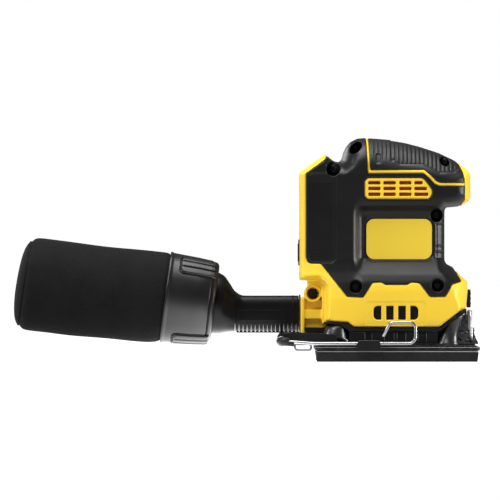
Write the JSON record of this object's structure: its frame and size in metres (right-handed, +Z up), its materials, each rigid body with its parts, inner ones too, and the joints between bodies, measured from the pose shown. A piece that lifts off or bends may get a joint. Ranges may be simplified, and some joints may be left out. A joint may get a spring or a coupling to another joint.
{
  "type": "orbital sander",
  "caption": "Cordless quarter-sheet palm sander with an orbiting pad, wire paper clamps, rocker switch, speed dial and a slide-off dust bag.",
  "frame": {"origin": "centre of the pad's lower face, on the surface being sanded", "axes": "+X to the front of the tool, along the pad's 108 mm length; +Y to the operator's left; +Z up from the pad through the motor"},
  "size_m": [0.312, 0.1192, 0.1487],
  "materials": {
    "yellow_shell": "fine moulded texture, semi-gloss",
    "black_overmould": "soft satin elastomer",
    "yellow_label": "blank printed-film plate, smooth",
    "black_plastic": "moulded, satin",
    "soft_rubber": "matte",
    "dark_steel": "black oxide",
    "contact_brass": "tinned spring brass",
    "potting": "potted resin in a plastic tray",
    "board_green": "coated circuit board",
    "laminated_steel": "stacked laminations",
    "copper": "enamelled copper wire",
    "bright_steel": "ground steel",
    "platen_black": "black anodised die casting",
    "pale_backing": "fibre sheet",
    "pad_foam": "closed-cell foam with fine pores",
    "clamp_black": "black coated steel",
    "spring_wire": "bright drawn wire",
    "adaptor_black": "moulded, satin, ribbed underneath",
    "collar_grey": "satin with a broad sheen",
    "bag_fabric": "fine diagonal mesh weave"
  },
  "bodies": {
    "housing": {"housing_right": "yellow_shell", "housing_left": "yellow_shell", "body_overmould_right": "black_overmould", "body_overmould_left": "black_overmould", "grip_overmould_right": "black_overmould", "grip_overmould_left": "black_overmould", "front_cap": "yellow_shell", "rating_plate_blank": "yellow_label", "pocket_cover": "black_plastic", "housing_screws": "dark_steel", "front_bumper": "black_plastic", "dust_shroud": "black_plastic", "port_gasket": "soft_rubber", "terminal_block": "black_plastic", "battery_contacts": "contact_brass", "controller_module": "potting", "switch_body": "black_plastic", "speed_control_board": "board_green", "motor_stator": "laminated_steel", "stator_windings": "copper", "upper_bearing": "bright_steel", "lower_bearing": "bright_steel", "rocker_pin": "bright_steel"},
    "rotor": {"motor_shaft": "bright_steel", "motor_rotor": "laminated_steel", "cooling_fan": "black_plastic", "counterweight": "laminated_steel"},
    "platen": {"platen": "platen_black", "eccentric_bearing": "bright_steel", "platen_legs": "soft_rubber", "platen_screws": "dark_steel", "pad_backing": "pale_backing", "foam_pad": "pad_foam", "lever_clip": "clamp_black", "rear_clamp_bracket": "clamp_black", "rear_clamp_spring": "spring_wire", "front_clamp_bracket": "clamp_black", "front_clamp_spring": "spring_wire"},
    "rear_clamp": {"rear_clamp_lever": "spring_wire", "rear_clamp_jaw": "clamp_black", "rear_clamp_sleeve": "soft_rubber"},
    "front_bail": {"front_clamp_bail": "spring_wire"},
    "front_jaw": {"front_clamp_jaw": "clamp_black"},
    "rocker": {"rocker_key": "soft_rubber"},
    "dial": {"speed_dial": "black_plastic"},
    "adaptor": {"dust_adaptor": "adaptor_black"},
    "bag": {"bag_collar": "collar_grey", "bag_mouth_ring": "black_plastic", "dust_bag": "bag_fabric", "bag_end_ring": "black_plastic"}
  },
  "joints": [
    {"name": "motor_spin", "type": "hinge", "parent": "housing", "child": "rotor", "pos_m": [-0.0008, 0, 0.05], "axis": [0, 0, 1], "continuous": true},
    {"name": "platen_orbit", "type": "hinge", "parent": "rotor", "child": "platen", "pos_m": [0, 0, 0.02], "axis": [0, 0, 1], "continuous": true},
    {"name": "rear_clamp_lift", "type": "hinge", "parent": "platen", "child": "rear_clamp", "pos_m": [-0.0769, 0, 0.0136], "axis": [0, -1, 0], "range_deg": [0, 40]},
    {"name": "front_bail_drop", "type": "hinge", "parent": "platen", "child": "front_bail", "pos_m": [0.0494, 0, 0.015], "axis": [0, 1, 0], "range_deg": [0, 60]},
    {"name": "front_jaw_lift", "type": "hinge", "parent": "platen", "child": "front_jaw", "pos_m": [0.0494, 0, 0.015], "axis": [0, -1, 0], "range_deg": [0, 36]},
    {"name": "rocker_tilt", "type": "hinge", "parent": "housing", "child": "rocker", "pos_m": [0.0434, 0, 0.1213], "axis": [0, 1, 0], "range_deg": [0, 8]},
    {"name": "dial_turn", "type": "hinge", "parent": "housing", "child": "dial", "pos_m": [0.0393, 0, 0.1115], "axis": [0, 0, 1], "range_deg": [0, 270]},
    {"name": "adaptor_pull", "type": "slide", "parent": "housing", "child": "adaptor", "axis": [-1, 0, 0], "range_m": [0, 0.03]},
    {"name": "bag_twist", "type": "hinge", "parent": "adaptor", "child": "bag", "pos_m": [-0.121, 0, 0.0386], "axis": [-0.9921, 0, 0.1253], "range_deg": [0, 30]}
  ],
  "couplings": [
    {"joint": "platen_orbit", "follows": "motor_spin", "ratio": -1},
    {"joint": "front_jaw_lift", "follows": "front_bail_drop", "ratio": 0.6}
  ]
}
